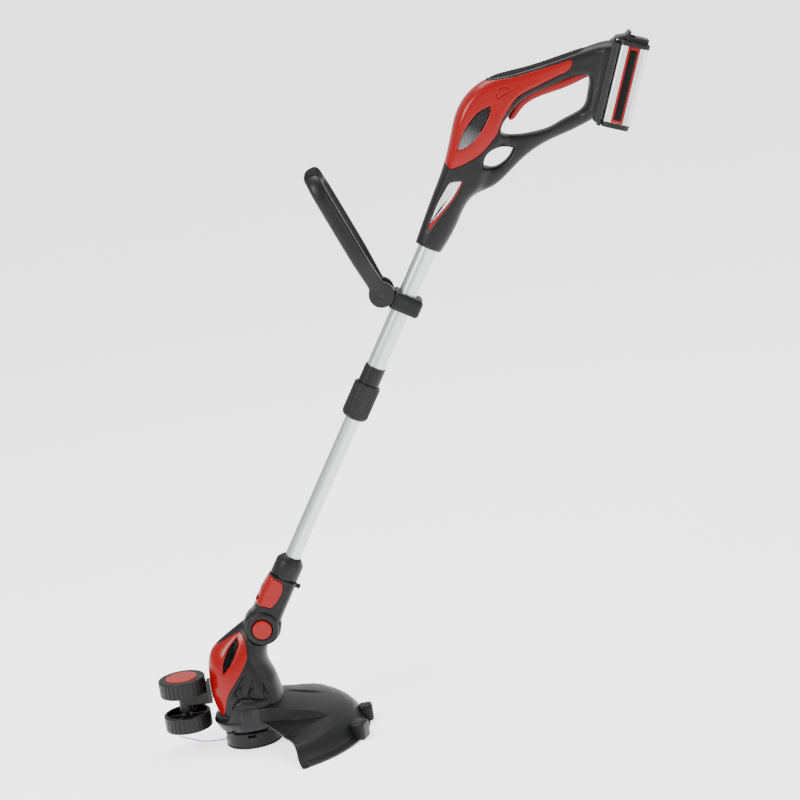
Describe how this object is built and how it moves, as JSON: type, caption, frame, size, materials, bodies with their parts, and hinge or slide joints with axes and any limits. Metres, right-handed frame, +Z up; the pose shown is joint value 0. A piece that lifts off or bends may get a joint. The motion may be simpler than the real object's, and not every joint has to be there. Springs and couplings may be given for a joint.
{
  "type": "string trimmer",
  "caption": "Battery string trimmer: D-shaped rear handle, telescopic tube with a front loop handle, tilting motor head, guard, spool and edge wheels.",
  "frame": {"origin": "on the ground, on the spool axis, at the centre of the bump knob's flat bottom", "axes": "+Z up along the spool axis, +X to the rear towards the battery, -Y the operator's left side, where the release buttons are"},
  "size_m": [0.9297, 0.3103, 1.0574],
  "materials": {
    "black_plastic": "satin, fine texture",
    "red_gloss": "gloss",
    "aluminium": "satin anodised",
    "silver_foil": "brushed foil",
    "soft_rubber": "soft matt",
    "steel": "zinc plated",
    "grille_dark": "satin",
    "motor_can": "satin",
    "board_green": "satin",
    "cell_wrap": "gloss sleeve",
    "nylon_line": "translucent nylon",
    "wheel_plastic": "satin",
    "nylon_grey": "satin"
  },
  "bodies": {
    "handle": {"handle_shell_left": "black_plastic", "handle_shell_right": "black_plastic", "side_panel_left": "red_gloss", "side_panel_right": "red_gloss", "handle_vent_grilles": "grille_dark", "badge_plates": "silver_foil", "soft_grip": "soft_rubber", "handle_screws": "steel", "battery_dock": "black_plastic", "terminal_block": "black_plastic", "control_board": "board_green", "trigger_switch": "black_plastic", "trigger_pin": "steel", "upper_tube": "aluminium", "tube_sleeve": "black_plastic", "collet": "nylon_grey", "power_lead": "black_plastic"},
    "trigger": {"trigger": "red_gloss"},
    "lock_off": {"lock_off_button": "red_gloss"},
    "battery": {"battery_case": "aluminium", "battery_top_cap": "black_plastic", "battery_bottom_cap": "black_plastic", "battery_cells": "cell_wrap", "battery_labels": "red_gloss"},
    "battery_latch": {"battery_latch": "black_plastic"},
    "aux_clamp": {"clamp_block": "black_plastic", "clamp_bolt": "steel"},
    "aux_handle": {"aux_handle_loop": "black_plastic", "aux_grip": "soft_rubber"},
    "aux_knob": {"aux_knob": "black_plastic"},
    "lock_collar": {"lock_nut": "black_plastic"},
    "lower_tube": {"lower_tube": "aluminium", "guide_bush": "nylon_grey", "neck_cap": "black_plastic"},
    "neck": {"neck_shell_left": "black_plastic", "neck_shell_right": "black_plastic", "index_knob": "black_plastic"},
    "rotation_button": {"rotation_button": "red_gloss"},
    "head": {"head_shell_left": "black_plastic", "head_shell_right": "black_plastic", "head_cover": "red_gloss", "head_vent_grilles": "grille_dark", "motor": "motor_can", "motor_mount": "nylon_grey", "guard": "black_plastic", "line_cutter": "steel", "guard_screws": "steel", "wheel_arm": "black_plastic", "tilt_bolt": "steel"},
    "tilt_button": {"tilt_button": "red_gloss"},
    "spool": {"spool_housing": "black_plastic", "eyelets": "steel", "spool_spring": "steel", "cutting_line": "nylon_line"},
    "bump_knob": {"bump_knob": "black_plastic", "line_reel": "nylon_line"},
    "wheel_upper": {"wheel_upper": "wheel_plastic", "wheel_cap_upper": "red_gloss"},
    "wheel_lower": {"wheel_lower": "wheel_plastic", "wheel_cap_lower": "red_gloss"}
  },
  "joints": [
    {"name": "trigger_squeeze", "type": "hinge", "parent": "handle", "child": "trigger", "pos_m": [0.68819, 0, 1.00602], "axis": [0, 1, 0], "range_deg": [0, 3.5], "stiffness_Nm_per_rad": 1.2, "springref_deg": -6.88},
    {"name": "lock_off_press", "type": "slide", "parent": "handle", "child": "lock_off", "axis": [0, 1, 0], "range_m": [0, 0.003], "stiffness_N_per_m": 400, "springref_m": -0.0005},
    {"name": "battery_release", "type": "slide", "parent": "handle", "child": "battery", "axis": [0.3649, 0, 0.9311], "range_m": [0, 0.15]},
    {"name": "latch_lift", "type": "hinge", "parent": "battery", "child": "battery_latch", "pos_m": [0.75547, 0, 1.04789], "axis": [0, 1, 0], "range_deg": [0, 10], "stiffness_Nm_per_rad": 0.4, "springref_deg": -2.86},
    {"name": "clamp_position", "type": "slide", "parent": "handle", "child": "aux_clamp", "axis": [0.5299, 0, 0.848], "range_m": [-0.09, 0.05]},
    {"name": "aux_handle_swing", "type": "hinge", "parent": "aux_clamp", "child": "aux_handle", "pos_m": [0.31881, 0, 0.70738], "axis": [0, 1, 0], "range_deg": [-60, 20]},
    {"name": "aux_knob_turn", "type": "hinge", "parent": "aux_clamp", "child": "aux_knob", "pos_m": [0.31881, 0.036, 0.70738], "axis": [0, 1, 0], "continuous": true},
    {"name": "collar_twist", "type": "hinge", "parent": "handle", "child": "lock_collar", "pos_m": [0.25862, 0, 0.53746], "axis": [0.5299, 0, 0.848], "range_deg": [0, 90]},
    {"name": "tube_extend", "type": "slide", "parent": "handle", "child": "lower_tube", "axis": [-0.5299, 0, -0.848], "range_m": [-0.04, 0.2]},
    {"name": "neck_turn", "type": "hinge", "parent": "lower_tube", "child": "neck", "pos_m": [0.08639, 0, 0.26184], "axis": [0.5299, 0, 0.848], "range_deg": [0, 180]},
    {"name": "rotation_button_press", "type": "slide", "parent": "neck", "child": "rotation_button", "axis": [0, 1, 0], "range_m": [0, 0.003], "stiffness_N_per_m": 600, "springref_m": -0.0006},
    {"name": "head_tilt", "type": "hinge", "parent": "neck", "child": "head", "pos_m": [0.044, 0, 0.194], "axis": [0, 1, 0], "range_deg": [-25, 30]},
    {"name": "tilt_button_press", "type": "slide", "parent": "neck", "child": "tilt_button", "axis": [0, 1, 0], "range_m": [0, 0.003], "stiffness_N_per_m": 600, "springref_m": -0.0006},
    {"name": "spool_spin", "type": "hinge", "parent": "head", "child": "spool", "pos_m": [0, 0, 0.014], "axis": [0, 0, 1], "continuous": true},
    {"name": "bump_feed", "type": "slide", "parent": "spool", "child": "bump_knob", "axis": [0, 0, 1], "range_m": [0, 0.0045], "stiffness_N_per_m": 900, "springref_m": -0.0007, "deforming": ["spool_spring"]},
    {"name": "wheel_upper_spin", "type": "hinge", "parent": "head", "child": "wheel_upper", "pos_m": [-0.102, 0, 0.11], "axis": [0, 0, 1], "continuous": true},
    {"name": "wheel_lower_spin", "type": "hinge", "parent": "head", "child": "wheel_lower", "pos_m": [-0.102, 0, 0.05], "axis": [0, 0, 1], "continuous": true}
  ]
}
